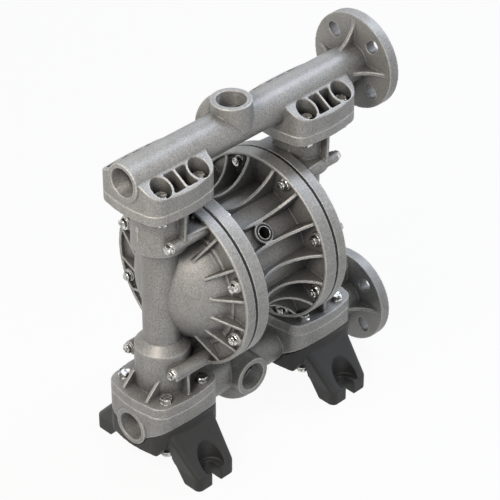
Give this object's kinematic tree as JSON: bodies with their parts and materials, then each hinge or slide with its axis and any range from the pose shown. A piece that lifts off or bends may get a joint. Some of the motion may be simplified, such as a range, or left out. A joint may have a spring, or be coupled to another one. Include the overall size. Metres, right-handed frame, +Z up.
{
  "type": "air operated diaphragm pump",
  "caption": "Air operated double diaphragm pump: ribbed cast body on black feet, ball valve columns, and suction and discharge manifolds with flanged ends.",
  "frame": {"origin": "on the floor under the middle of the pump, in the plane of the foot soles", "axes": "+X along the pump shaft towards the pipe flanges, +Z up, -Y the side of the air inlet and the open suction port"},
  "size_m": [0.47, 0.2646, 0.5755],
  "materials": {
    "cast_aluminium": "sand cast, matte, grainy",
    "painted_foot": "cast, matte black paint",
    "zinc_steel": "bright zinc plate",
    "diaphragm_rubber": "moulded, matte",
    "seal_rubber": "moulded, matte",
    "valve_stainless": "ground stainless steel",
    "plate_steel": "zinc plated steel",
    "shaft_steel": "ground stainless steel",
    "bush_bronze": "machined bronze",
    "spool_aluminium": "hard anodised",
    "silencer_plastic": "porous moulded plastic"
  },
  "bodies": {
    "housing": {"air_valve_sleeve": "bush_bronze", "center_housing": "cast_aluminium", "exhaust_silencer": "silencer_plastic", "left_diaphragm": "diaphragm_rubber", "left_fluid_cap": "cast_aluminium", "left_foot": "painted_foot", "left_ring_bolts": "zinc_steel", "left_ring_nuts": "zinc_steel", "left_shaft_bush": "bush_bronze", "left_shaft_seal": "seal_rubber", "left_valve_plug": "spool_aluminium", "lower_left_cage": "valve_stainless", "lower_left_ring": "seal_rubber", "lower_left_seat": "valve_stainless", "lower_manifold": "cast_aluminium", "lower_pad_bolts": "zinc_steel", "lower_pad_nuts": "zinc_steel", "lower_right_cage": "valve_stainless", "lower_right_ring": "seal_rubber", "lower_right_seat": "valve_stainless", "right_diaphragm": "diaphragm_rubber", "right_fluid_cap": "cast_aluminium", "right_foot": "painted_foot", "right_ring_bolts": "zinc_steel", "right_ring_nuts": "zinc_steel", "right_shaft_bush": "bush_bronze", "right_shaft_seal": "seal_rubber", "right_valve_plug": "spool_aluminium", "upper_left_cage": "valve_stainless", "upper_left_ring": "seal_rubber", "upper_left_seat": "valve_stainless", "upper_manifold": "cast_aluminium", "upper_pad_bolts": "zinc_steel", "upper_pad_nuts": "zinc_steel", "upper_right_cage": "valve_stainless", "upper_right_ring": "seal_rubber", "upper_right_seat": "valve_stainless"},
    "diaphragm_shaft": {"shaft": "shaft_steel", "left_inner_plate": "plate_steel", "right_inner_plate": "plate_steel", "left_outer_plate": "plate_steel", "right_outer_plate": "plate_steel"},
    "upper_left_ball": {"upper_left_ball": "valve_stainless"},
    "upper_right_ball": {"upper_right_ball": "valve_stainless"},
    "lower_left_ball": {"lower_left_ball": "valve_stainless"},
    "lower_right_ball": {"lower_right_ball": "valve_stainless"},
    "air_valve_spool": {"air_valve_spool": "spool_aluminium"},
    "left_pilot_pin": {"left_pilot_pin": "shaft_steel"},
    "right_pilot_pin": {"right_pilot_pin": "shaft_steel"}
  },
  "joints": [
    {"name": "shaft_stroke", "type": "slide", "parent": "housing", "child": "diaphragm_shaft", "axis": [1, 0, 0], "range_m": [-0.02, 0.02], "deforming": ["left_diaphragm", "right_diaphragm"]},
    {"name": "upper_left_ball_lift", "type": "slide", "parent": "housing", "child": "upper_left_ball", "axis": [0, 0, 1], "range_m": [0, 0.012]},
    {"name": "upper_right_ball_lift", "type": "slide", "parent": "housing", "child": "upper_right_ball", "axis": [0, 0, 1], "range_m": [0, 0.012]},
    {"name": "lower_left_ball_lift", "type": "slide", "parent": "housing", "child": "lower_left_ball", "axis": [0, 0, 1], "range_m": [0, 0.012]},
    {"name": "lower_right_ball_lift", "type": "slide", "parent": "housing", "child": "lower_right_ball", "axis": [0, 0, 1], "range_m": [0, 0.012]},
    {"name": "spool_shift", "type": "slide", "parent": "housing", "child": "air_valve_spool", "axis": [1, 0, 0], "range_m": [-0.008, 0.008]},
    {"name": "left_pilot_push", "type": "slide", "parent": "housing", "child": "left_pilot_pin", "axis": [1, 0, 0], "range_m": [-0.004, 0]},
    {"name": "right_pilot_push", "type": "slide", "parent": "housing", "child": "right_pilot_pin", "axis": [1, 0, 0], "range_m": [0, 0.004]}
  ]
}
